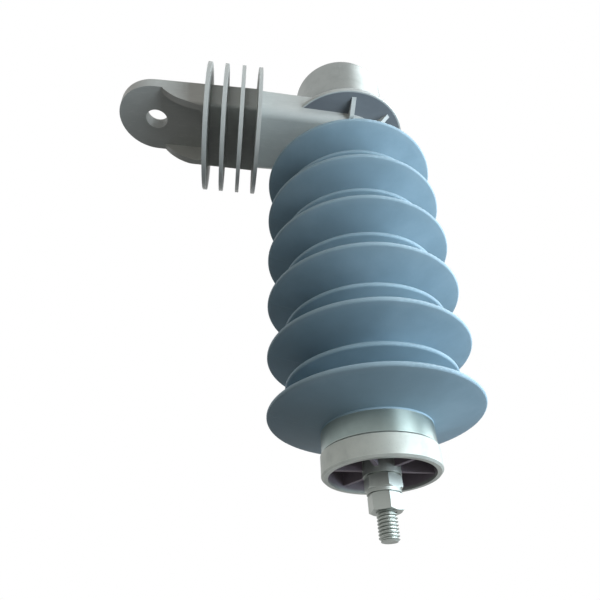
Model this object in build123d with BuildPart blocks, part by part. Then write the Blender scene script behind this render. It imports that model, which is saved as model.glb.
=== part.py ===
"""Distribution surge arrester with its insulating bracket and ground lead disconnector.

Millimetres, +Z up. The origin is the centre of the bracket's bolt hole, on the flat face that
seats on the crossarm iron. The bracket's arm runs along +X to the arrester's own axis, which is
parallel to Z. The line terminal is at the bottom and the disconnector at the top.
"""
import os
from math import cos, radians, tan

from build123d import *

# ---------------------------------------------------------------- driving dimensions
clearance = 0.1          # radial or face gap between pieces that are bonded, pressed or slid together

# bracket
arrester_x = 137.0       # bolt hole to arrester axis
bolt_hole_r = 7.5
lug_r = 26.0
lug_thickness = 10.0
arm_depth = 25.0
arm_half_width = 27.5    # at the last fin
neck_half_width = 27.0   # just beyond it
hub_r = 25.5
edge_round = 2.0
hub_round = 6.0          # lower edges of the neck and hub
shoulder_round = 3.0     # their upper edges
can_seat_thickness = 3.0
flange_wall = 4.5
flange_start_x = 5.0     # where the side flanges start to grow under the lug
flange_full_x = 34.0     # where they reach the arm's full depth
fin_r = 44.4
fin_thickness = 3.6
fin_draft = 0.5          # thinning of a fin or skirt at its rim, each side
fin_first_x = 37.0
fin_pitch = 11.7
fin_count = 4
fin_drop = 1.4           # fins' common centre below the middle of the arm
skirt_r = 43.5
skirt_thickness = 4.0
gusset_thickness = 3.0
gusset_reach = 39.0      # outer radius of the gussets under the skirt
gusset_foot = 3.0        # how far they stand out from the hub at their lower end
gusset_angles = (-90, -45, 0, 45, 90)

# clamping stud between earth fitting, hub and disconnector
earth_stud_r = 6.0
stud_fit = 0.5           # radial room round a stud in a plain hole
stud_engagement = 14.0   # depth of a stud in a threaded piece
nut_seat_r = 14.5        # counterbore in the top of the hub
nut_seat_depth = 13.5
hub_washer_r = 12.0
hub_washer_thickness = 2.5
hub_nut_flats = 18.0
hub_nut_height = 10.0

# polymer housing
arm_to_first_shed = 38.0
shed_count = 6
shed_pitch = 34.2
shed_r = 55.0
small_shed_r = 45.5
small_shed_drop = 18.3   # from a large shed's rim to the next small one's
rim_thickness = 2.6
weather_slope = 13.5     # degrees
back_slope = 11.0
stem_r = 27.5
root_round = 3.0
stem_top_rise = 17.0     # housing above the first rim
stem_end_drop = 10.0     # housing below the last rim

# tube and varistor stack
tube_outer_r = 22.0
tube_wall = 4.0
varistor_room = 1.0      # radial gap between discs and tube
varistor_height = 28.0
varistor_count = 5
varistor_chamfer = 0.8
plate_thickness = 2.0
disc_spring_margin = 2.0  # springs are this much smaller than the discs
disc_spring_bore_r = 6.0
disc_spring_wall = 1.2
disc_spring_rise = 1.4
disc_spring_count = 2
spigot_length = 16.0

# end fittings
earth_fitting_r = 26.0
line_neck_r = 28.1
line_flange_r = 28.9
line_fitting_length = 22.0
line_flange_length = 11.5
fitting_chamfer = 1.0
recess_r = 25.8
recess_depth = 13.0
recess_rib_count = 6
recess_rib_thickness = 2.0
recess_rib_drop = 2.5    # ribs stay this far inside the end face
boss_r = 9.2
seal_groove_width = 4.0
seal_groove_place = 6.0  # shoulder to the middle of the groove
seal_section = 3.0

# line terminal
terminal_r = 4.75
shoulder_flats = 16.0
shoulder_height = 6.5
line_washer_r = 8.2
line_washer_thickness = 1.6
line_nut_flats = 14.3
line_nut_height = 8.0
line_stud_end = 12.5     # bare stud beyond the nut
stud_chamfer = 1.0

# disconnector
can_r = 33.5
can_height = 40.5
can_wall = 2.5
can_top = 3.0
can_round = 3.0
can_hole_r = 9.0
base_thickness = 10.0
insert_flats = 19.0
insert_bore_depth = 9.0
stud_tip_room = 0.5      # stud end to the bottom of a blind thread
resistor_r = 28.5
resistor_bore_r = 13.0
resistor_height = 14.0
cartridge_r = 5.5
contact_spring_rise = 2.0
contact_spring_wall = 1.0
ground_head_r = 12.0
ground_head_height = 3.5
bush_length = 5.5        # bush inside the can
bush_lip = 1.5           # bush above the can's top
ground_stud_rise = 27.0
ground_washer_r = 10.0
ground_washer_thickness = 1.8
spring_washer_r = 8.2
spring_washer_thickness = 2.2
spring_washer_slot = 2.0
ground_nut_flats = 14.3
ground_nut_height = 8.0

# ---------------------------------------------------------------- levels and shared planes
axis = Axis((arrester_x, 0, 0), (0, 0, 1))
half_plane = Plane(origin=(arrester_x, 0, 0), x_dir=(1, 0, 0), z_dir=(0, -1, 0))
arm_middle = -arm_depth / 2
fin_centre = arm_middle - fin_drop
last_fin_x = fin_first_x + (fin_count - 1) * fin_pitch
earth_face = -arm_depth
first_rim = earth_face - arm_to_first_shed
last_rim = first_rim - (shed_count - 1) * shed_pitch
housing_top = first_rim + stem_top_rise
housing_end = last_rim - stem_end_drop
line_face = housing_end - line_fitting_length
spigot_r = tube_outer_r - tube_wall - clearance
groove_r = tube_outer_r - tube_wall - seal_section - clearance
varistor_r = tube_outer_r - tube_wall - varistor_room
disc_spring_r = varistor_r - disc_spring_margin
stack_top = housing_top - spigot_length
stack_end = housing_end + spigot_length
nut_seat = -nut_seat_depth
skirt_bottom = arm_middle - skirt_thickness


def level(z):
    """Horizontal plane on the arrester's axis at height z."""
    return Plane(origin=(arrester_x, 0, z))


def slope_fall(run, degrees):
    """How far a conical face falls over a radial run."""
    return run * tan(radians(degrees))


def save(piece, name):
    """Label a finished piece and write its STEP file."""
    piece.part.label = name
    export_step(piece.part, "parts/" + name + ".step")


def ring(inner_r, outer_r, bottom, height, edge=0.0):
    """Round disc, or ring when it has an inner radius, with its outer edges chamfered."""
    with BuildPart() as disc:
        with BuildSketch(level(bottom)):
            Circle(outer_r)
            if inner_r:
                Circle(inner_r, mode=Mode.SUBTRACT)
        extrude(amount=height)
        if edge:
            rims = disc.edges().filter_by(GeomType.CIRCLE).group_by(SortBy.RADIUS)[-1]
            chamfer(rims, edge)
    return disc


def nut(flats, bore_r, bottom, height):
    """Hexagonal nut, or plain hexagon with no bore, with its corners turned down at both ends."""
    corner_r = flats / 2 / cos(radians(30))
    turned = corner_r - flats / 2
    with BuildPart() as hexagon:
        with BuildSketch(level(bottom)):
            RegularPolygon(corner_r, 6, rotation=30)
            if bore_r:
                Circle(bore_r, mode=Mode.SUBTRACT)
        extrude(amount=height)
        with BuildSketch(half_plane):
            with BuildLine():
                Polyline(
                    (bore_r, bottom),
                    (flats / 2, bottom),
                    (corner_r, bottom + turned / 2),
                    (corner_r, bottom + height - turned / 2),
                    (flats / 2, bottom + height),
                    (bore_r, bottom + height),
                    close=True,
                )
            make_face()
        revolve(axis=axis, mode=Mode.INTERSECT)
    return hexagon


def cone_washer(inner_r, outer_r, bottom, rise, wall, flip=False):
    """Conical spring washer between bottom and bottom + rise + wall."""
    inner_z = bottom if flip else bottom + rise
    outer_z = bottom + rise if flip else bottom
    with BuildPart() as washer:
        with BuildSketch(half_plane):
            with BuildLine():
                Polyline(
                    (inner_r, inner_z),
                    (outer_r, outer_z),
                    (outer_r, outer_z + wall),
                    (inner_r, inner_z + wall),
                    close=True,
                )
            make_face()
        revolve(axis=axis)
    return washer


def shed(rim, outer_r):
    """Outline points of one shed, top to bottom; it slopes down from its rim to the stem."""
    run = outer_r - stem_r
    return [
        (stem_r, rim - slope_fall(run, back_slope)),
        (outer_r, rim),
        (outer_r, rim - rim_thickness),
        (stem_r, rim - rim_thickness - slope_fall(run, weather_slope)),
    ]


def seal_groove(shoulder, side):
    """Outline points of a spigot's side with its seal groove, from its end to its shoulder."""
    middle = shoulder + side * seal_groove_place
    near = middle - side * seal_groove_width / 2
    far = middle + side * seal_groove_width / 2
    return [
        (spigot_r, shoulder + side * spigot_length),
        (spigot_r, far),
        (groove_r, far),
        (groove_r, near),
        (spigot_r, near),
    ]


os.makedirs("parts", exist_ok=True)

# ---------------------------------------------------------------- insulating bracket
with BuildPart() as insulating_bracket:
    # arm from the round lug to the last fin
    with BuildSketch():
        Circle(lug_r)
        with Locations((last_fin_x, 0)):
            Rectangle(fin_thickness, 2 * arm_half_width)
        make_hull()
    extrude(amount=-arm_depth)
    arm_ends = insulating_bracket.faces().sort_by(Axis.Z)
    fillet(arm_ends[0].edges() + arm_ends[-1].edges(), edge_round)

    # softer neck that starts inside the arm and narrows to the hub
    with BuildPart() as hub_end:
        with BuildSketch():
            with Locations((last_fin_x - fin_pitch, 0)):
                Rectangle(fin_pitch, 2 * neck_half_width)
            with Locations((arrester_x, 0)):
                Circle(hub_r)
            make_hull()
        extrude(amount=-arm_depth)
        fillet(hub_end.faces().sort_by(Axis.Z)[0].edges(), hub_round)
        fillet(hub_end.faces().sort_by(Axis.Z)[-1].edges(), shoulder_round)

    # round seat for the disconnector can
    with BuildSketch(level(0)):
        Circle(can_r)
    extrude(amount=-can_seat_thickness)

    # channel under the lug, open at the end, that leaves two flanges rising towards the arm
    with BuildSketch(Plane.XY.offset(-lug_thickness)):
        Circle(lug_r - flange_wall)
        with Locations((flange_full_x / 2, 0)):
            Rectangle(flange_full_x, 2 * (lug_r - flange_wall))
        fillet([v for v in vertices() if v.X > flange_full_x - edge_round], 2 * edge_round)
    extrude(amount=-arm_depth, mode=Mode.SUBTRACT)
    with BuildSketch(Plane.XZ):
        with BuildLine():
            TangentArc((flange_full_x, -arm_depth), (flange_start_x, -lug_thickness), tangent=(-1, 0))
            Polyline(
                (flange_start_x, -lug_thickness),
                (-lug_r, -lug_thickness),
                (-lug_r, -arm_depth),
                (flange_full_x, -arm_depth),
            )
        make_face()
    extrude(amount=lug_r + edge_round, both=True, mode=Mode.SUBTRACT)

    # upright creepage fins along the arm, thinner at the rim
    with BuildSketch(Plane.XZ):
        for index in range(fin_count):
            fin_x = fin_first_x + index * fin_pitch
            with BuildLine():
                Polyline(
                    (fin_x - fin_thickness / 2, fin_centre),
                    (fin_x - fin_thickness / 2 + fin_draft, fin_centre + fin_r),
                    (fin_x + fin_thickness / 2 - fin_draft, fin_centre + fin_r),
                    (fin_x + fin_thickness / 2, fin_centre),
                    close=True,
                )
            make_face()
    revolve(axis=Axis((0, 0, fin_centre), (1, 0, 0)))

    # level skirt round the hub
    with BuildSketch(half_plane):
        with BuildLine():
            Polyline(
                (0, skirt_bottom),
                (skirt_r, skirt_bottom + fin_draft),
                (skirt_r, arm_middle - fin_draft),
                (0, arm_middle),
                close=True,
            )
        make_face()
    revolve(axis=axis)

    # gussets between the hub's wall and the skirt
    for angle in gusset_angles:
        direction = Vector(1, 0, 0).rotate(Axis.Z, angle)
        across = direction.cross(Vector(0, 0, 1))
        with BuildSketch(Plane(origin=(arrester_x, 0, 0), x_dir=direction, z_dir=across)):
            with BuildLine():
                Polyline(
                    (hub_r - hub_round, skirt_bottom + fin_draft),
                    (gusset_reach, skirt_bottom + fin_draft),
                    (hub_r + gusset_foot, edge_round - arm_depth),
                    (hub_r - hub_round, edge_round - arm_depth),
                    close=True,
                )
            make_face()
        extrude(amount=gusset_thickness / 2, both=True)

    # bolt hole in the lug, stud hole and nut seat in the hub
    with Locations((0, 0, 0)):
        Hole(bolt_hole_r)
    with Locations((arrester_x, 0, 0)):
        CounterBoreHole(earth_stud_r + stud_fit, nut_seat_r, nut_seat_depth)
save(insulating_bracket, "insulating_bracket")

# ---------------------------------------------------------------- polymer housing
with BuildPart() as polymer_housing:
    with BuildSketch(half_plane):
        with BuildLine():
            outline = [(tube_outer_r + clearance, housing_end), (tube_outer_r + clearance, housing_top)]
            outline.append((stem_r, housing_top))
            for index in range(shed_count):
                rim = first_rim - index * shed_pitch
                outline += shed(rim, shed_r)
                if index < shed_count - 1:
                    outline += shed(rim - small_shed_drop, small_shed_r)
            outline[-1] = (line_neck_r, last_rim - rim_thickness - slope_fall(shed_r - line_neck_r, weather_slope))
            outline.append((line_neck_r, housing_end))
            Polyline(*outline, close=True)
        make_face()
        fillet([v for v in vertices() if v.X > small_shed_r - 1], 0.45 * rim_thickness)
        fillet([v for v in vertices() if abs(v.X - stem_r) < 0.01 and v.Y < housing_top - 1], root_round)
    revolve(axis=axis)
save(polymer_housing, "polymer_housing")

# ---------------------------------------------------------------- tube and varistor stack
fibreglass_tube = ring(tube_outer_r - tube_wall, tube_outer_r, housing_end, housing_top - housing_end)
save(fibreglass_tube, "fibreglass_tube")

line_contact_plate = ring(0, varistor_r, stack_end, plate_thickness)
save(line_contact_plate, "line_contact_plate")

first_varistor = stack_end + plate_thickness
for index in range(varistor_count):
    disc_bottom = first_varistor + index * varistor_height
    varistor_disc = ring(0, varistor_r, disc_bottom, varistor_height, varistor_chamfer)
    save(varistor_disc, "varistor_disc_" + str(index + 1))

spring_height = disc_spring_rise + disc_spring_wall
springs_bottom = stack_top - disc_spring_count * spring_height
spacer_bottom = first_varistor + varistor_count * varistor_height
spacer_height = springs_bottom - plate_thickness - spacer_bottom
stack_spacer = ring(0, varistor_r, spacer_bottom, spacer_height, varistor_chamfer)
save(stack_spacer, "stack_spacer")

spring_plate = ring(0, varistor_r, springs_bottom - plate_thickness, plate_thickness)
save(spring_plate, "spring_plate")

with BuildPart() as disc_springs:
    for index in range(disc_spring_count):
        add(cone_washer(
            disc_spring_bore_r,
            disc_spring_r,
            springs_bottom + index * spring_height,
            disc_spring_rise,
            disc_spring_wall,
            flip=index % 2 == 1,
        ))
save(disc_springs, "disc_springs")

# ---------------------------------------------------------------- end fittings and their seals
with BuildPart() as earth_end_fitting:
    with BuildSketch(half_plane):
        with BuildLine():
            Polyline(
                (0, stack_top),
                *seal_groove(housing_top, -1),
                (spigot_r, housing_top),
                (earth_fitting_r, housing_top),
                (earth_fitting_r, earth_face),
                (0, earth_face),
                close=True,
            )
        make_face()
        chamfer([v for v in vertices() if v.X > earth_fitting_r - 0.1], fitting_chamfer)
    revolve(axis=axis)
    with Locations((arrester_x, 0, earth_face)):
        Hole(earth_stud_r + clearance, depth=stud_engagement + stud_tip_room)
save(earth_end_fitting, "earth_end_fitting")

with BuildPart() as line_end_fitting:
    with BuildSketch(half_plane):
        with BuildLine():
            Polyline(
                (0, stack_end),
                *seal_groove(housing_end, 1),
                (spigot_r, housing_end),
                (line_neck_r, housing_end),
                (line_neck_r, line_face + line_flange_length),
                (line_flange_r, line_face + line_flange_length),
                (line_flange_r, line_face),
                (recess_r, line_face),
                (recess_r, line_face + recess_depth),
                (boss_r, line_face + recess_depth),
                (boss_r, line_face),
                (terminal_r + clearance, line_face),
                (terminal_r + clearance, line_face + stud_engagement + stud_tip_room),
                (0, line_face + stud_engagement + stud_tip_room),
                close=True,
            )
        make_face()
        chamfer([v for v in vertices() if v.X > line_flange_r - 0.1], fitting_chamfer)
    revolve(axis=axis)
    with BuildSketch(level(line_face + recess_rib_drop)):
        with PolarLocations((boss_r + recess_r) / 2, recess_rib_count):
            Rectangle(recess_r - boss_r + 1, recess_rib_thickness)
    extrude(amount=recess_depth - recess_rib_drop)
save(line_end_fitting, "line_end_fitting")

for name, shoulder, side in (("earth_seal_ring", housing_top, -1), ("line_seal_ring", housing_end, 1)):
    with BuildPart() as seal_ring:
        with BuildSketch(half_plane):
            with Locations((groove_r + (seal_section + clearance) / 2, shoulder + side * seal_groove_place)):
                Circle(seal_section / 2)
        revolve(axis=axis)
    save(seal_ring, name)

# ---------------------------------------------------------------- line terminal
shoulder_end = line_face - shoulder_height
washer_end = shoulder_end - line_washer_thickness
nut_end = washer_end - line_nut_height
with BuildPart() as line_stud:
    add(nut(shoulder_flats, 0, shoulder_end, shoulder_height))
    with BuildSketch(level(nut_end - line_stud_end)):
        Circle(terminal_r)
    extrude(amount=line_face + stud_engagement - nut_end + line_stud_end)
    chamfer(line_stud.edges().filter_by(GeomType.CIRCLE).sort_by(Axis.Z)[0], stud_chamfer)
save(line_stud, "line_stud")

line_washer = ring(terminal_r + clearance, line_washer_r, washer_end, line_washer_thickness)
save(line_washer, "line_washer")

line_nut = nut(line_nut_flats, terminal_r + clearance, nut_end, line_nut_height)
save(line_nut, "line_nut")

# ---------------------------------------------------------------- clamping stud, washer and nut in the hub
stud_bottom = earth_face - stud_engagement
stud_top = insert_bore_depth - stud_tip_room
earth_stud = ring(0, earth_stud_r, stud_bottom, stud_top - stud_bottom, stud_chamfer)
save(earth_stud, "earth_stud")

hub_washer = ring(earth_stud_r + stud_fit, hub_washer_r, nut_seat, hub_washer_thickness)
save(hub_washer, "hub_washer")

hub_nut = nut(hub_nut_flats, earth_stud_r + clearance, nut_seat + hub_washer_thickness, hub_nut_height)
save(hub_nut, "hub_nut")

# ---------------------------------------------------------------- disconnector
can_inner_r = can_r - can_wall
bush_bottom = can_height - can_top - bush_length
contact_spring_bottom = bush_bottom - ground_head_height - contact_spring_rise - contact_spring_wall
cartridge_height = contact_spring_bottom - base_thickness
with BuildPart() as disconnector_can:
    with BuildSketch(half_plane):
        with BuildLine():
            Polyline(
                (can_inner_r, 0),
                (can_r, 0),
                (can_r, can_height),
                (can_hole_r, can_height),
                (can_hole_r, can_height - can_top),
                (can_inner_r, can_height - can_top),
                close=True,
            )
        make_face()
        fillet([v for v in vertices() if v.X > can_r - 0.1 and v.Y > can_top], can_round)
    revolve(axis=axis)
save(disconnector_can, "disconnector_can")

with BuildPart() as disconnector_base:
    with BuildSketch(level(0)):
        Circle(can_inner_r - clearance)
        RegularPolygon(insert_flats / 2 + clearance, 6, major_radius=False, mode=Mode.SUBTRACT)
    extrude(amount=base_thickness)
save(disconnector_base, "disconnector_base")

with BuildPart() as disconnector_insert:
    with BuildSketch(level(0)):
        RegularPolygon(insert_flats / 2, 6, major_radius=False)
    extrude(amount=base_thickness)
    with BuildSketch(level(0)):
        Circle(earth_stud_r + clearance)
    extrude(amount=insert_bore_depth, mode=Mode.SUBTRACT)
save(disconnector_insert, "disconnector_insert")

disconnector_resistor = ring(resistor_bore_r, resistor_r, base_thickness, resistor_height)
save(disconnector_resistor, "disconnector_resistor")

disconnector_cartridge = ring(0, cartridge_r, base_thickness, cartridge_height)
save(disconnector_cartridge, "disconnector_cartridge")

disconnector_contact_spring = cone_washer(
    cartridge_r / 2,
    cartridge_r + contact_spring_rise,
    contact_spring_bottom,
    contact_spring_rise,
    contact_spring_wall,
    flip=True,
)
save(disconnector_contact_spring, "disconnector_contact_spring")

with BuildPart() as disconnector_bush:
    with BuildSketch(half_plane):
        with BuildLine():
            Polyline(
                (terminal_r + clearance, bush_bottom),
                (can_inner_r - clearance, bush_bottom),
                (can_inner_r - clearance, can_height - can_top),
                (can_hole_r - clearance, can_height - can_top),
                (can_hole_r - clearance, can_height + bush_lip),
                (terminal_r + clearance, can_height + bush_lip),
                close=True,
            )
        make_face()
    revolve(axis=axis)
save(disconnector_bush, "disconnector_bush")

# ---------------------------------------------------------------- ground terminal
with BuildPart() as ground_stud:
    with BuildSketch(level(bush_bottom)):
        Circle(ground_head_r)
    extrude(amount=-ground_head_height)
    with BuildSketch(level(bush_bottom)):
        Circle(terminal_r)
    extrude(amount=can_height + ground_stud_rise - bush_bottom)
    chamfer(ground_stud.edges().filter_by(GeomType.CIRCLE).sort_by(Axis.Z)[-1], stud_chamfer)
save(ground_stud, "ground_stud")

washer_bottom = can_height + bush_lip
ground_washer = ring(terminal_r + clearance, ground_washer_r, washer_bottom, ground_washer_thickness)
save(ground_washer, "ground_washer")

spring_washer_bottom = washer_bottom + ground_washer_thickness
with BuildPart() as ground_spring_washer:
    with BuildSketch(level(spring_washer_bottom)):
        Circle(spring_washer_r)
        Circle(terminal_r + clearance, mode=Mode.SUBTRACT)
        with Locations((spring_washer_r, 0)):
            Rectangle(spring_washer_r, spring_washer_slot, mode=Mode.SUBTRACT)
    extrude(amount=spring_washer_thickness)
save(ground_spring_washer, "ground_spring_washer")

ground_nut_bottom = spring_washer_bottom + spring_washer_thickness
ground_nut = nut(ground_nut_flats, terminal_r + clearance, ground_nut_bottom, ground_nut_height)
save(ground_nut, "ground_nut")
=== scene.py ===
"""Finishes, threads, light and camera for a distribution surge arrester.

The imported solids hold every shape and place. This script dresses them: silicone, moulded
polyester, cast and drawn aluminium, plated steel, ceramics and brass. It swaps the plain
stud solids for studs with real threads. Lengths are metres unless a name says otherwise.
"""
import logging
import math
from dataclasses import dataclass, field
from enum import Enum
from typing import Any, Callable, Optional, Protocol, Sequence, Union

import bmesh
import bpy
from mathutils import Matrix, Vector


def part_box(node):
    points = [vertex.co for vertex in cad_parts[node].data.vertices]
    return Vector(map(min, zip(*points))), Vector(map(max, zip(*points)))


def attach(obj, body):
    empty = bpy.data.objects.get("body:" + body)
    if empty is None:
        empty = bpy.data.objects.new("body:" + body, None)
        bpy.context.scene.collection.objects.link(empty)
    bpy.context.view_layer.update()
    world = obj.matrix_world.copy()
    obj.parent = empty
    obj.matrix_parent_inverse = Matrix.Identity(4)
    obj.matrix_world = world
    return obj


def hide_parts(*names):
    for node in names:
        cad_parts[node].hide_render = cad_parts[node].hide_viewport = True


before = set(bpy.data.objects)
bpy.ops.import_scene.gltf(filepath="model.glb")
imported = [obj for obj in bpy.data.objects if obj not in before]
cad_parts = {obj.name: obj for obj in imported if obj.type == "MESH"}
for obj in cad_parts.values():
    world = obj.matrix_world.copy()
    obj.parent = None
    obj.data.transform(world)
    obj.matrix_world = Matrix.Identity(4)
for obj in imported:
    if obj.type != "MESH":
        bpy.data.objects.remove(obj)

log = logging.getLogger("arrester")

MM = 0.001
MERGE_DISTANCE = 1e-6
CUT_DISTANCE = 1e-7
SHARP_ANGLE = math.radians(32)
TERMINAL_RADIUS = 4.75 * MM
SET_OUT_HEIGHT = -149.5 * MM  # the lamps face this height on the axis, and the camera is placed from it

Colour = tuple[float, float, float]
Outline = Sequence[tuple[float, float]]
Wire = list[Union[bmesh.types.BMVert, bmesh.types.BMEdge]]


# ------------------------------------------------------------------ shader maths
class Channel:
    """One output of a node tree. Arithmetic on it adds Math nodes."""

    def __init__(self, graph: "Graph", socket: bpy.types.NodeSocket) -> None:
        """Wrap an output of a node in the graph's tree."""
        self.graph = graph
        self.socket = socket

    def _math(self, operation: str, *terms: "Term", clamp: bool = False) -> "Channel":
        """Add a Math node on the terms in order; clamp holds its result between 0 and 1."""
        settings = {"operation": operation, "use_clamp": clamp}
        return self.graph.add("ShaderNodeMath", settings, dict(enumerate(terms)))

    def __add__(self, other: "Term") -> "Channel":
        """Sum."""
        return self._math("ADD", self, other)

    __radd__ = __add__

    def __sub__(self, other: "Term") -> "Channel":
        """Difference."""
        return self._math("SUBTRACT", self, other)

    def __rsub__(self, other: "Term") -> "Channel":
        """Difference from a number."""
        return self._math("SUBTRACT", other, self)

    def __mul__(self, other: "Term") -> "Channel":
        """Product."""
        return self._math("MULTIPLY", self, other)

    __rmul__ = __mul__

    def __abs__(self) -> "Channel":
        """Size without sign."""
        return self._math("ABSOLUTE", self)

    def clamp(self) -> "Channel":
        """This value held between 0 and 1."""
        return self._math("ADD", self, 0.0, clamp=True)

    def ramp(self, start: float, end: float) -> "Channel":
        """Smooth step.

        Args:
            start: value that gives 0.
            end: value that gives 1; it may lie below start.

        Returns:
            0 to 1, eased at both ends.
        """
        settings = {"interpolation_type": "SMOOTHSTEP"}
        low, high, first, last = (start, end, 0.0, 1.0) if start < end else (end, start, 1.0, 0.0)
        links = {"Value": self, "From Min": low, "From Max": high, "To Min": first, "To Max": last}
        return self.graph.add("ShaderNodeMapRange", settings, links)

    def band(self, start: float, full: float, last: float, end: float) -> "Channel":
        """Mask that leaves 0 at start, is 1 from full to last and is back at 0 at end."""
        return self.ramp(start, full) * self.ramp(end, last)

    def part(self, index: int) -> "Channel":
        """One component of this vector: 0, 1 or 2."""
        return self.graph.add("ShaderNodeSeparateXYZ", {}, {0: self}, output=index)


Term = Union[Channel, float, Sequence[float]]
Links = dict[Union[str, int], Term]


class Graph:
    """A node tree of a material or world, built from expressions."""

    def __init__(self, owner: Union[bpy.types.Material, bpy.types.World]) -> None:
        """Start with an empty tree.

        Args:
            owner: the new material or world.
        """
        owner.use_nodes = True
        self.owner = owner
        self.tree = owner.node_tree
        self.tree.nodes.clear()

    def place(self) -> "Channel":
        """The object's own coordinates."""
        return self.add("ShaderNodeTexCoord", {}, {}, output="Object")

    def node(self, kind: str, settings: dict[str, Any], links: Links) -> bpy.types.Node:
        """Add one node.

        Args:
            kind: the node's type.
            settings: attributes that are set first.
            links: a value or a channel for each named or numbered input.

        Returns:
            The node.
        """
        made = self.tree.nodes.new(kind)
        for key, value in settings.items():
            setattr(made, key, value)
        for key, value in links.items():
            if isinstance(value, Channel):
                self.tree.links.new(value.socket, made.inputs[key])
            else:
                made.inputs[key].default_value = value
        return made

    def add(
        self,
        kind: str,
        settings: dict[str, Any],
        links: Links,
        output: Union[str, int] = 0,
    ) -> Channel:
        """Add one node, as the method node does, and read its named or numbered output."""
        return Channel(self, self.node(kind, settings, links).outputs[output])

    def centred(self, centre: Vector, stretch: Sequence[float] = (1.0, 1.0, 1.0)) -> Channel:
        """Object coordinates measured from a point.

        Args:
            centre: the point that becomes zero.
            stretch: factor along each axis.

        Returns:
            The coordinates.
        """
        shift = [-c * s for c, s in zip(centre, stretch)]
        links = {"Vector": self.place(), "Location": shift, "Scale": list(stretch)}
        return self.add("ShaderNodeMapping", {}, links)

    def noise(self, scale: float, detail: float, rough: float, at: Optional[Channel] = None) -> Channel:
        """Noise about 0.5 with scale features a metre, detail octaves and fine ones as strong as rough."""
        links = {"Vector": at or self.place(), "Scale": scale, "Detail": detail, "Roughness": rough}
        return self.add("ShaderNodeTexNoise", {}, links)

    def rings(self, scale: float, radius: Channel, height: Channel) -> Channel:
        """Noise that runs in rings round a vertical line, by the distance from it and the height."""
        track = self.add("ShaderNodeCombineXYZ", {}, {0: radius, 1: 0.0, 2: height})
        return self.noise(scale, 2.0, 0.7, track)

    def pits(self, scale: float, rim: float, deep: float) -> Channel:
        """1 in round pits that reach from rim to deep, as shares of their spacing, and 0 between them."""
        distance = self.add("ShaderNodeTexVoronoi", {}, {"Vector": self.place(), "Scale": scale})
        return distance.ramp(rim, deep)

    def length(self, vector: Channel) -> Channel:
        """Length of a vector."""
        return self.add("ShaderNodeVectorMath", {"operation": "LENGTH"}, {0: vector}, output="Value")

    def radius(self, vector: Channel) -> Channel:
        """Distance of a place from the vertical line through zero."""
        return self.length(self.add("ShaderNodeCombineXYZ", {}, {0: vector.part(0), 1: vector.part(1)}))

    def blend(self, factor: Term, first: Term, second: Term) -> Channel:
        """Mix two colours: a factor of 0 gives the first and 1 the second."""
        links = {0: factor, 6: rgba(first), 7: rgba(second)}
        return self.add("ShaderNodeMix", {"data_type": "RGBA"}, links, output=2)

    def edges(self, radius: float, flat: float = 0.995, sharp: float = 0.85) -> Channel:
        """How sharply the surface turns, from 0 on a flat face to 1 on an edge.

        Args:
            radius: reach of the test.
            flat: cosine of the turn that still counts as flat.
            sharp: cosine of the turn that counts as an edge.

        Returns:
            The wear mask.
        """
        bevel = self.add("ShaderNodeBevel", {"samples": 4}, {"Radius": radius})
        normal = self.add("ShaderNodeNewGeometry", {}, {}, output="Normal")
        dot = {"operation": "DOT_PRODUCT"}
        match = self.add("ShaderNodeVectorMath", dot, {0: bevel, 1: normal}, output="Value")
        return match.ramp(flat, sharp)

    def direct_sight(self) -> Channel:
        """1 where a camera, mirror or glass looks straight at the surface, and 0 for soft light."""
        rays = ("Is Camera Ray", "Is Glossy Ray", "Is Transmission Ray")
        camera, glossy, through = (self.add("ShaderNodeLightPath", {}, {}, output=ray) for ray in rays)
        return (camera + glossy + through).clamp()

    def relief(self, height: Channel, depth: float, under: Optional[Channel] = None) -> Channel:
        """Bump.

        Args:
            height: 0 to 1.
            depth: the height in metres that 1 stands for.
            under: another bump that this one lies on.

        Returns:
            The bent normal.
        """
        links: Links = {"Height": height, "Distance": depth, "Strength": 1.0}
        if under is not None:
            links["Normal"] = under
        return self.add("ShaderNodeBump", {}, links)

    def finish(self, **sockets: Term) -> bpy.types.Material:
        """Close the material with one Principled surface.

        Args:
            sockets: shader inputs, with underscores for spaces.

        Returns:
            The material.
        """
        links = {name.replace("_", " "): value for name, value in sockets.items()}
        surface = self.add("ShaderNodeBsdfPrincipled", {}, links)
        self.node("ShaderNodeOutputMaterial", {}, {"Surface": surface})
        return self.owner


def material_graph(name: str) -> Graph:
    """A graph in a new material of that name."""
    return Graph(bpy.data.materials.new(name))


def rgba(colour: Term) -> Term:
    """Four numbers for a colour of three; a channel stays as it is."""
    return colour if isinstance(colour, Channel) else (*colour, 1.0)


def scaled(colour: Colour, factor: float) -> Colour:
    """A colour with every part multiplied, at most 1."""
    return tuple(min(1.0, part * factor) for part in colour)


# ------------------------------------------------------------------ finishes
class Slot(Enum):
    """Finishes by the name that the record gives them."""

    BRACKET = "bracket_polyester"
    SILICONE = "silicone_rubber"
    LAMINATE = "glass_laminate"
    PLAIN_ALUMINIUM = "plain_aluminium"
    CAST_ALUMINIUM = "cast_aluminium"
    DRAWN_ALUMINIUM = "drawn_aluminium"
    VARISTOR = "zinc_oxide_ceramic"
    RESISTOR = "resistor_ceramic"
    PLATED_STEEL = "zinc_plated_steel"
    SPRING_STEEL = "spring_steel"
    BRASS = "plain_brass"
    INSULATION = "moulded_insulation"
    SEAL = "seal_rubber"


class Finish(Protocol):
    """Anything that a solid can be dressed in."""

    def material(self) -> bpy.types.Material:
        """Build the material."""


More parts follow.
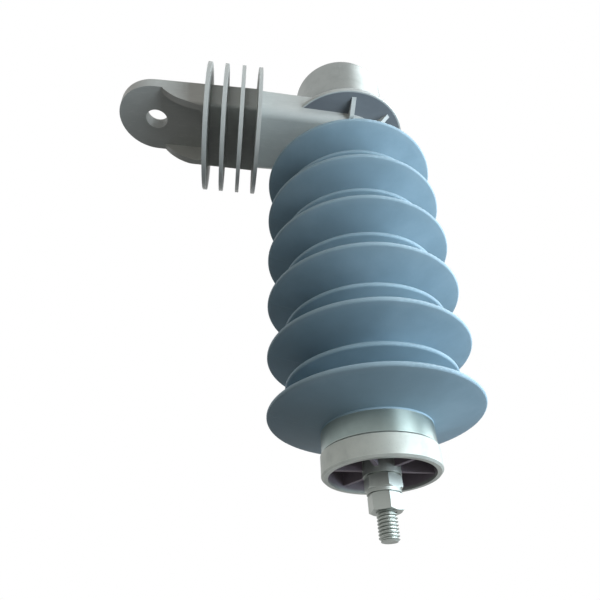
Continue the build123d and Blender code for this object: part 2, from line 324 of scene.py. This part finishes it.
@dataclass(frozen=True)
class Silicone:
    """Moulded silicone rubber: satin, faintly mottled, with a fine mould line and dusty rims."""

    axis: Vector
    colour: Colour = (0.268, 0.390, 0.465)
    bloom: Colour = (0.350, 0.460, 0.520)
    rim_radius: float = 50.0 * MM
    rim_width: float = 5.0 * MM
    mould_line: float = 0.35 * MM
    line_height: float = 0.12 * MM
    speck_height: float = 0.02 * MM

    def material(self) -> bpy.types.Material:
        """Build the material."""
        g = material_graph(Slot.SILICONE.value)
        local = g.centred(self.axis)
        radius = g.radius(local)
        cloud = g.noise(28.0, 5.0, 0.55)
        speck = g.noise(900.0, 2.0, 0.6)
        rim = radius.ramp(self.rim_radius, self.rim_radius + self.rim_width)
        dust = (rim * 0.35 + cloud.ramp(0.45, 0.75) * 0.35).clamp()
        base = g.blend(cloud.ramp(0.3, 0.7), scaled(self.colour, 0.90), scaled(self.colour, 1.08))
        base = g.blend(dust * (0.7 + speck * 0.6), base, self.bloom)
        line = abs(local.part(1)).ramp(self.mould_line * 1.6, self.mould_line * 0.4)
        skin = g.relief(speck, self.speck_height)
        return g.finish(
            Base_Color=base,
            Roughness=0.46 + cloud * 0.14 + speck * 0.06,
            Normal=g.relief(line, self.line_height, skin),
            Specular_IOR_Level=0.25,
        )


@dataclass(frozen=True)
class MouldedPolyester:
    """Glass-filled polyester moulding: pale grey, swirled by its fibres, with painted shade under the
    skirt.
    """

    axis: Vector
    colour: Colour = (0.500, 0.520, 0.500)
    swirl: Colour = (0.430, 0.450, 0.432)
    worn: Colour = (0.640, 0.650, 0.630)
    # painted shade: the dark colour laid on the skirt's underside, where the hub and sheds keep the light
    # off
    painted_shade: Colour = (0.110, 0.122, 0.145)
    skirt_underside: float = -16.3 * MM
    skirt_inner: float = 25.0 * MM
    skirt_outer: float = 42.2 * MM
    margin: float = 0.6 * MM
    worn_edge: float = 0.9 * MM
    fibre_height: float = 0.035 * MM
    pore_depth: float = 0.03 * MM

    def material(self) -> bpy.types.Material:
        """Build the material."""
        g = material_graph(Slot.BRACKET.value)
        flow = g.noise(22.0, 6.0, 0.62, g.centred(Vector(), (0.5, 1.0, 1.4)))
        fibre = g.noise(650.0, 3.0, 0.65, g.centred(Vector(), (0.25, 1.0, 1.0)))
        pores = g.pits(520.0, 0.16, 0.05)
        local = g.centred(self.axis)
        inner, outer, margin = self.skirt_inner, self.skirt_outer, self.margin
        ring = g.radius(local).band(inner, inner + margin, outer, outer + margin)
        facing_down = g.add("ShaderNodeNewGeometry", {}, {}, output="Normal").part(2).ramp(-0.8, -0.95)
        at_height = abs(local.part(2) - self.skirt_underside).ramp(margin * 2, margin)
        # painted shade: mask of the skirt's downward face between the hub and the rim
        shaded_underside = ring * facing_down * at_height
        base = g.blend(flow.ramp(0.35, 0.68), self.colour, self.swirl)
        base = g.blend(fibre.ramp(0.52, 0.75) * 0.30, base, self.worn)
        base = g.blend(g.edges(self.worn_edge) * 0.5, base, self.worn)
        base = g.blend(pores * 0.35, base, scaled(self.colour, 0.6))
        # painted shade laid on the skirt's underside, broken up by the flow noise
        base = g.blend(shaded_underside * (0.70 + flow * 0.35).clamp(), base, self.painted_shade)
        grain = g.relief(fibre, self.fibre_height)
        return g.finish(
            Base_Color=base,
            Roughness=0.46 + flow * 0.16 - fibre * 0.08,
            Normal=g.relief(1.0 - pores, self.pore_depth, grain),
        )


@dataclass(frozen=True)
class CastAluminium:
    """Die-cast aluminium: a satin pebbled flange, a turned neck above it and a pocket below darkened as
    painted shade.
    """

    axis: Vector
    face: float
    colour: Colour = (0.390, 0.415, 0.385)
    dull: Colour = (0.305, 0.330, 0.310)
    turned: Colour = (0.250, 0.305, 0.292)
    # painted shade: the dark colour laid inside the recess
    painted_shade: Colour = (0.215, 0.180, 0.210)
    flange_length: float = 11.5 * MM
    pocket_depth: float = 13.0 * MM
    pocket_inner: float = 9.4 * MM
    pocket_outer: float = 25.8 * MM
    margin: float = 0.3 * MM
    worn_edge: float = 0.5 * MM
    relief_height: float = 0.05 * MM

    def material(self) -> bpy.types.Material:
        """Build the material."""
        g = material_graph(Slot.CAST_ALUMINIUM.value)
        local = g.centred(self.axis + Vector((0, 0, self.face)))
        height = local.part(2)
        radius = g.radius(local)
        margin, inner, outer, bottom = self.margin, self.pocket_inner, self.pocket_outer, self.pocket_depth
        neck = height.ramp(self.flange_length - margin, self.flange_length)
        hollow = radius.band(inner, inner + margin, outer, outer + margin * 2)
        # painted shade: mask of the recess's inside, where little light reaches
        pocket = hollow * height.band(margin, margin * 8, bottom + margin, bottom + margin * 2)
        cloud = g.noise(60.0, 5.0, 0.6)
        pebble = g.noise(1500.0, 3.0, 0.6)
        rings = g.rings(1300.0, radius, height)
        pits = g.pits(700.0, 0.14, 0.04) * (1.0 - neck)
        rubbed = g.edges(self.worn_edge)
        base = g.blend(cloud.ramp(0.35, 0.7), self.colour, self.dull)
        base = g.blend(pits * 0.5, base, scaled(self.dull, 0.6))
        base = g.blend(neck, base, g.blend(cloud.ramp(0.3, 0.7), self.turned, scaled(self.turned, 0.85)))
        base = g.blend(rubbed * 0.7, base, scaled(self.colour, 1.45))
        # painted shade laid in the recess, broken up by the cloud noise
        base = g.blend(pocket * (0.75 + cloud * 0.4).clamp(), base, self.painted_shade)
        skin = g.relief(pebble * (1.0 - neck) + rings * neck * 0.35, self.relief_height)
        return g.finish(
            Base_Color=base,
            # the lower metallic in the recess is part of its painted shade
            Metallic=(0.80 + neck * 0.20) * (1.0 - pocket * 0.6),
            Roughness=0.46 + cloud * 0.14 - neck * 0.20 - rubbed * 0.08 + pocket * 0.20,
            Normal=g.relief(1.0 - pits, self.relief_height, skin),
        )


@dataclass(frozen=True)
class TurnedMetal:
    """Drawn, turned or brushed metal with fine rings round the arrester's axis."""

    name: str
    axis: Vector
    colour: Colour
    tint: Colour
    roughness: float
    ring_scale: float = 1400.0
    worn_edge: float = 0.4 * MM
    ring_height: float = 0.012 * MM

    def material(self) -> bpy.types.Material:
        """Build the material."""
        g = material_graph(self.name)
        local = g.centred(self.axis)
        rings = g.rings(self.ring_scale, g.radius(local), local.part(2))
        stain = g.noise(45.0, 5.0, 0.6)
        scratch = g.noise(260.0, 4.0, 0.75, g.centred(self.axis, (1.0, 1.0, 0.15)))
        base = g.blend(stain.ramp(0.38, 0.72), self.colour, self.tint)
        base = g.blend(g.edges(self.worn_edge) * 0.6, base, scaled(self.colour, 1.25))
        return g.finish(
            Base_Color=base,
            Metallic=1.0,
            Roughness=self.roughness + stain * 0.14 + scratch.ramp(0.55, 0.75) * 0.10,
            Normal=g.relief(rings, self.ring_height),
        )


@dataclass(frozen=True)
class Plain:
    """Fired, laminated or moulded stuff with speckle, cloud and grain."""

    name: str
    colour: Colour
    cloudy: Colour
    speckle: Colour
    roughness: float
    speck_share: float = 0.3
    speck_scale: float = 900.0
    stretch: tuple[float, float, float] = (1.0, 1.0, 1.0)
    grain: float = 0.03 * MM

    def material(self) -> bpy.types.Material:
        """Build the material."""
        g = material_graph(self.name)
        cloud = g.noise(40.0, 5.0, 0.6)
        speck = g.noise(self.speck_scale, 3.0, 0.7, g.centred(Vector(), self.stretch))
        base = g.blend(cloud.ramp(0.35, 0.7), self.colour, self.cloudy)
        base = g.blend(speck.ramp(0.55, 0.72) * self.speck_share, base, self.speckle)
        return g.finish(
            Base_Color=base,
            Roughness=self.roughness + cloud * 0.12 - speck * 0.06,
            Normal=g.relief(speck, self.grain),
        )


@dataclass
class Finishes:
    """Every finish of the arrester, each made once."""

    axis: Vector
    line_face: float
    made: dict[Slot, bpy.types.Material] = field(default_factory=dict)

    def recipe(self, slot: Slot) -> Finish:
        """Choose the finish for a slot.

        Args:
            slot: the record's slot.

        Returns:
            The finish, before its material is built.
        """
        name, axis = slot.value, self.axis
        recipes = {
            Slot.BRACKET: MouldedPolyester(axis),
            Slot.SILICONE: Silicone(axis),
            Slot.CAST_ALUMINIUM: CastAluminium(axis, self.line_face),
            Slot.PLAIN_ALUMINIUM: TurnedMetal(
                name, axis, (0.74, 0.75, 0.75), (0.60, 0.61, 0.62), roughness=0.36
            ),
            Slot.DRAWN_ALUMINIUM: TurnedMetal(
                name, axis, (0.29, 0.31, 0.30), (0.24, 0.26, 0.25), roughness=0.34, ring_scale=900.0
            ),
            Slot.PLATED_STEEL: TurnedMetal(
                name, axis, (0.35, 0.375, 0.35), (0.26, 0.28, 0.26), roughness=0.38, ring_scale=1100.0
            ),
            Slot.SPRING_STEEL: TurnedMetal(
                name, axis, (0.40, 0.39, 0.37), (0.30, 0.27, 0.24), roughness=0.38, ring_scale=1700.0
            ),
            Slot.BRASS: TurnedMetal(
                name, axis, (0.70, 0.52, 0.24), (0.55, 0.40, 0.19), roughness=0.30, ring_scale=1500.0
            ),
            Slot.VARISTOR: Plain(
                name, (0.050, 0.052, 0.054), (0.072, 0.074, 0.072), (0.15, 0.15, 0.14), roughness=0.55
            ),
            Slot.RESISTOR: Plain(
                name, (0.100, 0.094, 0.088), (0.150, 0.138, 0.124), (0.30, 0.28, 0.25), roughness=0.70
            ),
            Slot.LAMINATE: Plain(
                name,
                (0.47, 0.48, 0.30),
                (0.40, 0.42, 0.26),
                (0.62, 0.62, 0.45),
                roughness=0.38,
                speck_share=0.5,
                speck_scale=420.0,
                stretch=(1.0, 1.0, 0.2),
            ),
            Slot.INSULATION: Plain(
                name,
                (0.030, 0.028, 0.026),
                (0.040, 0.036, 0.032),
                (0.07, 0.07, 0.07),
                roughness=0.42,
                speck_share=0.2,
            ),
            Slot.SEAL: Plain(
                name,
                (0.022, 0.022, 0.023),
                (0.030, 0.030, 0.030),
                (0.06, 0.06, 0.06),
                roughness=0.62,
                speck_share=0.2,
            ),
        }
        return recipes[slot]

    def material(self, slot: Slot) -> bpy.types.Material:
        """The slot's material, built when it is first asked for.

        Args:
            slot: the record's slot.

        Returns:
            The material.
        """
        if slot not in self.made:
            self.made[slot] = self.recipe(slot).material()
        return self.made[slot]


# ------------------------------------------------------------------ mesh pieces
def hexagon_reach(angle: float, flats: float) -> float:
    """Distance from a hexagon's centre to its side; an angle of 30 degrees points at a corner."""
    sixth = math.radians(60)
    return flats / 2 / math.cos((angle + sixth / 2) % sixth - sixth / 2)


@dataclass
class Turned:
    """A mesh built from profiles turned about the arrester's axis."""

    axis: Vector
    mesh: bmesh.types.BMesh = field(default_factory=bmesh.new)

    def profile(self, points: Outline) -> Wire:
        """Lay an open outline in the half plane of the axis.

        Args:
            points: radius and height of each corner.

        Returns:
            The outline's corners and edges.
        """
        corners = [
            self.mesh.verts.new((self.axis.x + radius, self.axis.y, height))
            for radius, height in points
        ]
        return [*corners, *(self.mesh.edges.new(pair) for pair in zip(corners, corners[1:]))]

    def since(self, before: set[bmesh.types.BMVert]) -> list[bmesh.types.BMVert]:
        """The vertices that weren't there before."""
        return [v for v in self.mesh.verts if v not in before]

    def lathe(self, points: Outline, steps: int) -> list[bmesh.types.BMVert]:
        """Turn an outline that starts and ends on the axis into a closed body.

        Args:
            points: radius and height of each corner.
            steps: faces round the body.

        Returns:
            The body's vertices.
        """
        before = set(self.mesh.verts)
        bmesh.ops.spin(
            self.mesh,
            geom=self.profile(points),
            cent=self.axis,
            axis=(0, 0, 1),
            angle=math.tau,
            steps=steps,
            use_merge=True,
        )
        bmesh.ops.remove_doubles(self.mesh, verts=self.since(before), dist=MERGE_DISTANCE)
        self.face_outwards(self.since(before))
        return self.since(before)

    def cut_flat(self, verts: Sequence[bmesh.types.BMVert], height: float, side: int) -> None:
        """Cut vertices off level at a height and close the cut.

        Args:
            verts: the vertices, with the edges and faces on them.
            height: where the cut lies.
            side: 1 takes what is above away, and -1 what is below.
        """
        edges = dict.fromkeys(e for v in verts for e in v.link_edges)
        faces = dict.fromkeys(f for v in verts for f in v.link_faces)
        cut = bmesh.ops.bisect_plane(
            self.mesh,
            geom=[*verts, *edges, *faces],
            dist=CUT_DISTANCE,
            plane_co=(0, 0, height),
            plane_no=(0, 0, side),
            clear_outer=True,
        )
        loop = [e for e in cut["geom_cut"] if isinstance(e, bmesh.types.BMEdge)]
        bmesh.ops.contextual_create(self.mesh, geom=loop)

    def face_outwards(self, verts: Sequence[bmesh.types.BMVert]) -> None:
        """Turn the faces of a closed body outwards, which makes the volume they enclose positive.

        Args:
            verts: the body's vertices.
        """
        faces = list(dict.fromkeys(f for v in verts for f in v.link_faces))
        bmesh.ops.recalc_face_normals(self.mesh, faces=faces)
        self.mesh.normal_update()
        volume = sum(f.normal.dot(f.calc_center_median()) * f.calc_area() for f in faces) / 3
        if volume < 0:
            bmesh.ops.reverse_faces(self.mesh, faces=faces)

    def turn_down(
        self,
        verts: Sequence[bmesh.types.BMVert],
        limit: Callable[[float, float], float],
    ) -> None:
        """Bring vertices in to a limit.

        Args:
            verts: the vertices.
            limit: largest radius for an angle and a height.
        """
        for vert in verts:
            flat = Vector((vert.co.x - self.axis.x, vert.co.y - self.axis.y))
            most = limit(math.atan2(flat.y, flat.x), vert.co.z)
            if flat.length > most:
                flat *= most / flat.length
                vert.co.x, vert.co.y = self.axis.x + flat.x, self.axis.y + flat.y

    def finish(self, name: str, material: bpy.types.Material) -> bpy.types.Object:
        """Make the mesh an object.

        Args:
            name: the object's name.
            material: its finish.

        Returns:
            The object.
        """
        data = bpy.data.meshes.new(name)
        self.mesh.to_mesh(data)
        self.mesh.free()
        data.materials.append(material)
        data.shade_smooth()
        data.set_sharp_from_angle(angle=SHARP_ANGLE)
        piece = bpy.data.objects.new(name, data)
        bpy.context.scene.collection.objects.link(piece)
        return piece


@dataclass
class Thread:
    """Outside thread between two heights, chamfered at both ends."""

    radius: float
    bottom: float
    top: float
    pitch: float = 1.5 * MM
    depth_share: float = 0.61
    crest_share: float = 0.125
    steps: int = 32
    chamfer: float = 1.0 * MM
    root_margin: float = 0.2 * MM

    @property
    def root(self) -> float:
        """Radius at the bottom of the groove."""
        return self.radius - self.depth_share * self.pitch

    def limit(self, _: float, height: float) -> float:
        """Largest radius that the chamfers leave at a height; the angle makes no difference."""
        room = min(height - self.bottom, self.top - height)
        return max(self.root - self.root_margin, self.radius - self.chamfer + room)

    def wind(self, body: Turned) -> None:
        """Sweep one turn's outline along the helix, past both ends.

        Args:
            body: the turned body.
        """
        crest = self.crest_share * self.pitch
        start, middle = self.bottom - self.pitch, self.bottom - self.pitch / 2
        outline = [
            (self.root, start),
            (self.root, start + crest * 2),
            (self.radius, middle + crest / 2),
            (self.radius, middle + crest * 1.5),
            (self.root, self.bottom),
        ]
        turns = math.ceil((self.top - self.bottom) / self.pitch) + 2
        bmesh.ops.spin(
            body.mesh,
            geom=body.profile(outline),
            cent=body.axis,
            axis=(0, 0, 1),
            dvec=(0, 0, self.pitch / self.steps),
            angle=math.tau * turns,
            steps=self.steps * turns,
        )

    def cut(self, body: Turned) -> None:
        """Add the threaded length to a body.

        Args:
            body: the turned body.
        """
        before = set(body.mesh.verts)
        self.wind(body)
        bmesh.ops.remove_doubles(body.mesh, verts=body.since(before), dist=MERGE_DISTANCE)
        for height, side in ((self.bottom, -1), (self.top, 1)):
            body.cut_flat(body.since(before), height, side)
        body.turn_down(body.since(before), self.limit)
        body.face_outwards(body.since(before))


# ------------------------------------------------------------------ sub-assemblies
@dataclass
class SubAssembly:
    """Pieces that are fitted together and dressed together."""

    axis: Vector
    finishes: Finishes

    def slots(self) -> dict[str, Slot]:
        """The finish of each of its solids."""
        return {}

    def dress(self) -> None:
        """Give every solid its finish."""
        for name, slot in self.slots().items():
            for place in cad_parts[name].material_slots:
                place.material = self.finishes.material(slot)

    def build(self) -> list[bpy.types.Object]:
        """Make the pieces that stand in for solids.

        Returns:
            The new pieces.
        """
        return []

    def stand_in(self, body: Turned, name: str, node: str, slot: Slot) -> bpy.types.Object:
        """Put a turned body in place of a solid.

        Args:
            body: the turned body.
            name: the new piece's name.
            node: the solid.
            slot: the finish's slot.

        Returns:
            The new piece.
        """
        piece = body.finish(name, self.finishes.material(slot))
        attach(piece, "root")
        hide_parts(node)
        return piece


@dataclass
class Bracket(SubAssembly):
    """Insulating bracket, and the stud, washer and nut that clamp it."""

    pitch: float = 1.75 * MM

    def slots(self) -> dict[str, Slot]:
        """The finish of each of its solids."""
        return {
            "insulating_bracket": Slot.BRACKET,
            "hub_washer": Slot.PLATED_STEEL,
            "hub_nut": Slot.PLATED_STEEL,
        }

    def build(self) -> list[bpy.types.Object]:
        """Make the threaded clamping stud.

        Returns:
            The stud.
        """
        low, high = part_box("earth_stud")
        body = Turned(self.axis)
        Thread((high[0] - low[0]) / 2, low[2], high[2], self.pitch).cut(body)
        return [self.stand_in(body, "clamping_stud", "earth_stud", Slot.PLATED_STEEL)]


@dataclass
class Housing(SubAssembly):
    """Shedded polymer housing, its tube, end fittings and seals."""

    def slots(self) -> dict[str, Slot]:
        """The finish of each of its solids."""
        return {
            "polymer_housing": Slot.SILICONE,
            "fibreglass_tube": Slot.LAMINATE,
            "earth_end_fitting": Slot.CAST_ALUMINIUM,
            "line_end_fitting": Slot.CAST_ALUMINIUM,
            "earth_seal_ring": Slot.SEAL,
            "line_seal_ring": Slot.SEAL,
        }


@dataclass
class Stack(SubAssembly):
    """Varistor discs with the plates, spacer and springs that press them together."""

    discs: int = 5

    def slots(self) -> dict[str, Slot]:
        """The finish of each of its solids."""
        named = {
            "line_contact_plate": Slot.PLAIN_ALUMINIUM,
            "stack_spacer": Slot.PLAIN_ALUMINIUM,
            "spring_plate": Slot.PLATED_STEEL,
            "disc_springs": Slot.SPRING_STEEL,
        }
        return named | {f"varistor_disc_{index + 1}": Slot.VARISTOR for index in range(self.discs)}


@dataclass
class LineTerminal(SubAssembly):
    """Stud with a hexagonal shoulder, washer and nut under the line fitting."""

    shoulder_flats: float = 16.0 * MM
    hex_steps: int = 72
    chamfer_rings: int = 6
    chamfer_slope: float = 0.55

    def slots(self) -> dict[str, Slot]:
        """The finish of each of its solids."""
        return {"line_washer": Slot.PLATED_STEEL, "line_nut": Slot.PLATED_STEEL}

    def shoulder(self, body: Turned) -> None:
        """Add the hexagon.

        Args:
            body: the turned body.
        """
        inner = self.shoulder_flats / 2
        corner = hexagon_reach(math.radians(30), self.shoulder_flats)
        steps = range(self.chamfer_rings + 1)
        rings = [inner + (corner - inner) * step / self.chamfer_rings for step in steps]
        low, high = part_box("line_washer")[1][2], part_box("line_end_fitting")[0][2]
        below = [(radius, low + (radius - inner) * self.chamfer_slope) for radius in rings]
        above = [(radius, high - (radius - inner) * self.chamfer_slope) for radius in reversed(rings)]
        verts = body.lathe([(0, low), *below, *above, (0, high)], self.hex_steps)
        body.turn_down(verts, lambda angle, _: hexagon_reach(angle, self.shoulder_flats))

    def build(self) -> list[bpy.types.Object]:
        """Make the stud with its shoulder and thread.

        Returns:
            The stud.
        """
        low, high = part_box("line_stud")
        body = Turned(self.axis)
        self.shoulder(body)
        Thread(TERMINAL_RADIUS, low[2], high[2]).cut(body)
        return [self.stand_in(body, "line_terminal_stud", "line_stud", Slot.PLATED_STEEL)]


@dataclass
class Disconnector(SubAssembly):
    """Ground lead disconnector in its can, with the ground terminal on top."""

    head_edge: float = 0.5 * MM
    head_steps: int = 96

    def slots(self) -> dict[str, Slot]:
        """The finish of each of its solids."""
        return {
            "disconnector_can": Slot.DRAWN_ALUMINIUM,
            "disconnector_base": Slot.INSULATION,
            "disconnector_insert": Slot.BRASS,
            "disconnector_resistor": Slot.RESISTOR,
            "disconnector_cartridge": Slot.BRASS,
            "disconnector_contact_spring": Slot.SPRING_STEEL,
            "disconnector_bush": Slot.INSULATION,
            "ground_washer": Slot.PLATED_STEEL,
            "ground_spring_washer": Slot.SPRING_STEEL,
            "ground_nut": Slot.PLATED_STEEL,
        }

    def build(self) -> list[bpy.types.Object]:
        """Make the ground stud with its head and thread.

        Returns:
            The stud.
        """
        (left, _, low), (right, _, high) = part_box("ground_stud")
        head, edge, seat = (right - left) / 2, self.head_edge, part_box("disconnector_bush")[0][2]
        outline = [
            (0, low),
            (head - edge, low),
            (head, low + edge),
            (head, seat - edge),
            (head - edge, seat),
            (0, seat),
        ]
        body = Turned(self.axis)
        body.lathe(outline, self.head_steps)
        Thread(TERMINAL_RADIUS, seat, high).cut(body)
        return [self.stand_in(body, "ground_terminal_stud", "ground_stud", Slot.PLATED_STEEL)]


# ------------------------------------------------------------------ studio
@dataclass(frozen=True)
class Lamp:
    """A soft square lamp that faces a point; only a mirrored one shows in polished metal."""

    name: str
    azimuth: float
    elevation: float
    distance: float
    size: float
    level: float
    colour: Colour = (1.0, 1.0, 1.0)
    mirrored: bool = True

    def hang(self, target: Vector) -> None:
        """Place the lamp so that a level of 1 shows a facing surface's colour as it is written.

        Args:
            target: the point that it faces.
        """
        light = bpy.data.lights.new(self.name, "AREA")
        light.size = self.size
        light.color = self.colour
        light.energy = self.level * (math.pi * self.distance) ** 2
        holder = bpy.data.objects.new(self.name, light)
        back = direction(self.azimuth, self.elevation)
        holder.location = target + back * self.distance
        holder.rotation_euler = back.to_track_quat("Z", "Y").to_euler()
        holder.visible_camera = False
        holder.visible_glossy = self.mirrored
        bpy.context.scene.collection.objects.link(holder)


def direction(azimuth: float, elevation: float) -> Vector:
    """Unit vector towards a viewer, from degrees: azimuth 0 stands on -Y and turns towards +X."""
    turn, rise = math.radians(azimuth), math.radians(elevation)
    return Vector((math.sin(turn) * math.cos(rise), -math.cos(turn) * math.cos(rise), math.sin(rise)))


@dataclass(frozen=True)
class Viewpoint:
    """Camera that looks up at the arrester from below and in front."""

    azimuth: float = -17.53
    elevation: float = -37.66
    distance: float = 321.9 * MM
    look_offset: tuple[float, float, float] = (-34.69 * MM, 11.10 * MM, -7.19 * MM)
    roll: float = 1.93
    lens: float = 31.87
    nearest: float = 10.0 * MM

    def place(self, middle: Vector) -> None:
        """Create the camera.

        Args:
            middle: the point that it is placed from.
        """
        eye = middle + direction(self.azimuth, self.elevation) * self.distance
        back = (eye - middle - Vector(self.look_offset)).normalized()
        right = Vector((0, 0, 1)).cross(back).normalized()
        up = back.cross(right)
        cosine, sine = math.cos(math.radians(self.roll)), math.sin(math.radians(self.roll))
        right, up = right * cosine - up * sine, up * cosine + right * sine
        camera = bpy.data.objects.new("camera", bpy.data.cameras.new("camera"))
        camera.data.lens = self.lens
        camera.data.clip_start = self.nearest
        camera.matrix_world = Matrix.Translation(eye) @ Matrix((right, up, back)).transposed().to_4x4()
        bpy.context.scene.collection.objects.link(camera)
        bpy.context.scene.camera = camera


@dataclass(frozen=True)
class Studio:
    """Floor and surroundings that are white where they are seen but give little light, and soft lamps."""

    middle: Vector
    floor_level: float = -0.55
    floor_reach: float = 30.0
    floor_colour: Colour = (0.60, 0.60, 0.60)
    floor_bounce: Colour = (0.10, 0.10, 0.10)
    floor_glow: Colour = (0.92, 0.92, 0.92)
    glow_share: float = 0.70
    surround: Colour = (0.070, 0.060, 0.058)
    backdrop: Colour = (1.0, 1.0, 1.0)
    lamps: tuple[Lamp, ...] = (
        Lamp("key", 38.0, -9.0, 0.55, 0.30, 0.92, (0.84, 0.93, 1.0)),
        Lamp("side", 78.0, -16.0, 0.50, 0.34, 0.92, (0.72, 0.87, 1.0)),
        Lamp("window", 70.0, 54.0, 0.70, 0.42, 0.48, (0.90, 0.97, 1.0)),
        Lamp("pane_near", 52.0, 20.0, 0.70, 0.30, 0.14, (0.90, 0.97, 1.0)),
        Lamp("pane_far", 98.0, 20.0, 0.70, 0.42, 0.42, (0.90, 0.97, 1.0)),
        Lamp("front", -30.0, -3.0, 1.20, 1.20, 0.34, (1.0, 0.96, 0.90), mirrored=False),
        Lamp("left", -110.0, 35.0, 1.20, 0.80, 0.15, mirrored=False),
        Lamp("back", 175.0, 20.0, 1.20, 0.80, 0.50, mirrored=False),
    )

    def surroundings(self) -> None:
        """Make the world: white where it is seen, plain soft light on the object."""
        g = Graph(bpy.data.worlds.new("surroundings"))
        bpy.context.scene.world = g.owner
        soft = g.add("ShaderNodeBackground", {}, {"Color": rgba(self.surround)})
        seen = g.add("ShaderNodeBackground", {}, {"Color": rgba(self.backdrop)})
        shown = g.add("ShaderNodeMixShader", {}, {0: g.direct_sight(), 1: soft, 2: seen})
        g.node("ShaderNodeOutputWorld", {}, {"Surface": shown})

    def floor_paint(self) -> bpy.types.Material:
        """Make the floor's finish: pale where it is seen, dark for soft light, clear from below.

        Returns:
            The material.
        """
        g = material_graph("studio_floor")
        seen = g.direct_sight()
        cloud = g.noise(1.5, 3.0, 0.5)
        colour = g.blend(cloud, self.floor_colour, scaled(self.floor_colour, 0.97))
        colour = g.blend(seen, self.floor_bounce, colour)
        paint = g.add("ShaderNodeBsdfDiffuse", {}, {"Color": colour})
        glow = g.add("ShaderNodeEmission", {}, {"Color": rgba(self.floor_glow)})
        above = g.add("ShaderNodeMixShader", {}, {0: seen * self.glow_share, 1: paint, 2: glow})
        below = g.add("ShaderNodeBsdfTransparent", {}, {})
        side = g.add("ShaderNodeNewGeometry", {}, {}, output="Backfacing")
        shown = g.add("ShaderNodeMixShader", {}, {0: side, 1: above, 2: below})
        g.node("ShaderNodeOutputMaterial", {}, {"Surface": shown})
        return g.owner

    def floor(self) -> bpy.types.Object:
        """Make the floor.

        Returns:
            The floor.
        """
        sheet = bmesh.new()
        bmesh.ops.create_grid(sheet, x_segments=1, y_segments=1, size=self.floor_reach)
        bmesh.ops.translate(sheet, verts=sheet.verts, vec=(self.middle.x, self.middle.y, self.floor_level))
        data = bpy.data.meshes.new("studio_floor")
        sheet.to_mesh(data)
        sheet.free()
        data.materials.append(self.floor_paint())
        floor = bpy.data.objects.new("studio_floor", data)
        bpy.context.scene.collection.objects.link(floor)
        return floor

    def set_up(self) -> None:
        """Light the arrester and place the camera."""
        self.surroundings()
        self.floor()
        for lamp in self.lamps:
            lamp.hang(self.middle)
        Viewpoint().place(self.middle)
        bpy.context.scene.view_settings.view_transform = "Standard"


def arrester_axis() -> Vector:
    """The arrester's axis at height zero, from the housing's box to a hundredth of a millimetre."""
    low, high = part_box("polymer_housing")
    return Vector((round((low[0] + high[0]) / 2, 5), round((low[1] + high[1]) / 2, 5), 0.0))


def main() -> None:
    """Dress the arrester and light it."""
    logging.basicConfig(level=logging.INFO, format="%(name)s: %(message)s")
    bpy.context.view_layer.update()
    axis = arrester_axis()
    finishes = Finishes(axis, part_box("line_end_fitting")[0][2])
    for kind in (Bracket, Housing, Stack, LineTerminal, Disconnector):
        part = kind(axis, finishes)
        part.dress()
        log.info("%s: %d solids dressed", kind.__name__, len(part.slots()))
        for piece in part.build():
            log.info("%s: %s, %d faces", kind.__name__, piece.name, len(piece.data.polygons))
    Studio(axis + Vector((0, 0, SET_OUT_HEIGHT))).set_up()


if __name__ == "__main__":
    main()
